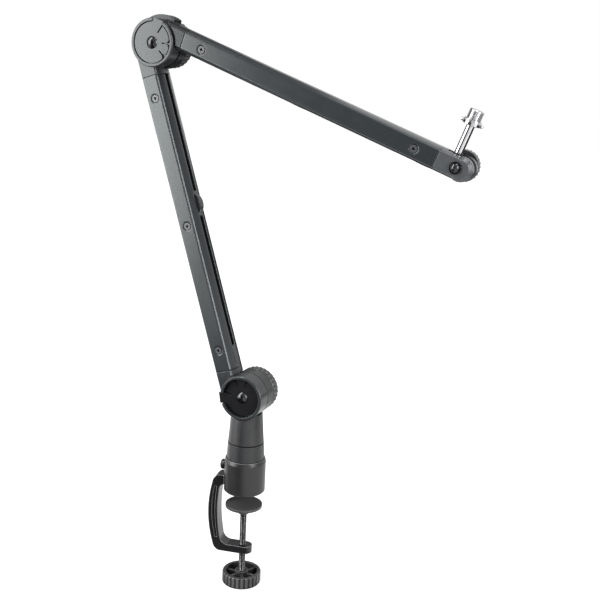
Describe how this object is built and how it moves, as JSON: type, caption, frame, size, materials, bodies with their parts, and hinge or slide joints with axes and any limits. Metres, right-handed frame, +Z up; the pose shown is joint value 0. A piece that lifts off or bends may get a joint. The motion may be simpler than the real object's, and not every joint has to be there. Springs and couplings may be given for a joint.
{
  "type": "microphone boom arm",
  "caption": "Desk-clamped microphone boom arm: swivelling column, friction hinges with hand knobs, extruded arms with cable channels, and a tilting threaded stud.",
  "frame": {"origin": "on the swivel axis, at the underside of the clamp's socket, which rests on the desk", "axes": "+Z up along the swivel axis; the arms fold in the XZ plane; -Y is the side with the key plates"},
  "size_m": [0.4073, 0.055, 0.6775],
  "materials": {
    "arm_paint": "black satin coat",
    "hinge_plastic": "fine matte texture",
    "knob_plastic": "matte",
    "key_plate_black": "matte",
    "cast_black": "black semi-gloss coat",
    "rubber_face": "matte",
    "chrome": "polished",
    "dark_steel": "dark oxide",
    "insert_brass": "machined",
    "fibre": "fibre"
  },
  "bodies": {
    "clamp": {"clamp_frame": "cast_black", "socket_bush": "cast_black", "lock_screw": "dark_steel", "swivel_washer": "fibre"},
    "pad": {"clamp_pad": "cast_black", "pad_face": "rubber_face"},
    "screw": {"clamp_screw": "dark_steel", "clamp_knob": "knob_plastic", "pad_retainer": "dark_steel"},
    "column": {"column": "hinge_plastic", "swivel_spigot": "dark_steel", "spigot_retainer": "dark_steel"},
    "lower_arm": {"lower_arm_root_fitting": "hinge_plastic", "lower_arm_tip_fitting": "hinge_plastic", "lower_arm_extrusion": "arm_paint", "lower_arm_screws": "dark_steel", "lower_arm_mid_block": "arm_paint", "lower_arm_mid_clip": "hinge_plastic", "lower_arm_end_clip": "hinge_plastic", "lower_hinge_key_plate": "key_plate_black", "elbow_key_plate": "key_plate_black", "lower_hinge_bolt": "chrome", "elbow_bolt": "chrome", "lower_hinge_friction_washer": "fibre", "elbow_friction_washer": "fibre", "lower_hinge_spring_washer": "dark_steel", "elbow_spring_washer": "dark_steel"},
    "lower_knob": {"lower_hinge_knob": "knob_plastic", "lower_hinge_knob_insert": "insert_brass"},
    "elbow_knob": {"elbow_knob": "knob_plastic", "elbow_knob_insert": "insert_brass"},
    "upper_arm": {"upper_arm_root_fitting": "hinge_plastic", "upper_arm_tip_fitting": "hinge_plastic", "upper_arm_extrusion": "arm_paint", "upper_arm_screws": "dark_steel", "upper_arm_mid_clip": "hinge_plastic", "upper_arm_end_clip": "hinge_plastic", "mic_bolt": "chrome", "mic_bolt_washer": "chrome", "mic_friction_washers": "fibre", "mic_spring_washer": "dark_steel"},
    "mic_knob": {"mic_knob": "knob_plastic", "mic_knob_insert": "insert_brass"},
    "mic_swivel": {"mic_swivel_block": "dark_steel", "mic_rod": "chrome", "mic_stud": "chrome"},
    "lock_nut": {"mic_lock_nut": "chrome"}
  },
  "joints": [
    {"name": "pad_travel", "type": "slide", "parent": "clamp", "child": "pad", "axis": [0, 0, 1], "range_m": [-0.0401, 0.0178]},
    {"name": "screw_turn", "type": "hinge", "parent": "pad", "child": "screw", "pos_m": [0, 0, 0], "axis": [0, 0, 1], "range_deg": [-11550, 5128]},
    {"name": "column_swivel", "type": "hinge", "parent": "clamp", "child": "column", "pos_m": [0, 0, 0.06], "axis": [0, 0, 1], "continuous": true},
    {"name": "lower_hinge", "type": "hinge", "parent": "column", "child": "lower_arm", "pos_m": [0, 0, 0.122], "axis": [0, 1, 0], "range_deg": [-36, 67]},
    {"name": "elbow_hinge", "type": "hinge", "parent": "lower_arm", "child": "upper_arm", "pos_m": [-0.12525, 0, 0.52289], "axis": [0, 1, 0], "range_deg": [-117.5, 40]},
    {"name": "mic_tilt", "type": "hinge", "parent": "upper_arm", "child": "mic_swivel", "pos_m": [0.23229, 0, 0.40867], "axis": [0, 1, 0], "range_deg": [-10, 190]},
    {"name": "lower_knob_turn", "type": "hinge", "parent": "lower_arm", "child": "lower_knob", "pos_m": [0, 0, 0.122], "axis": [0, 1, 0], "continuous": true},
    {"name": "elbow_knob_turn", "type": "hinge", "parent": "lower_arm", "child": "elbow_knob", "pos_m": [-0.12525, 0, 0.52289], "axis": [0, 1, 0], "continuous": true},
    {"name": "mic_knob_turn", "type": "hinge", "parent": "upper_arm", "child": "mic_knob", "pos_m": [0.23229, 0, 0.40867], "axis": [0, 1, 0], "continuous": true},
    {"name": "lock_nut_turn", "type": "hinge", "parent": "mic_swivel", "child": "lock_nut", "pos_m": [0.24223, 0, 0.45402], "axis": [0.3446, 0, 0.9387], "continuous": true}
  ],
  "couplings": [
    {"joint": "screw_turn", "follows": "pad_travel", "rad_per_m": 5026.5}
  ]
}
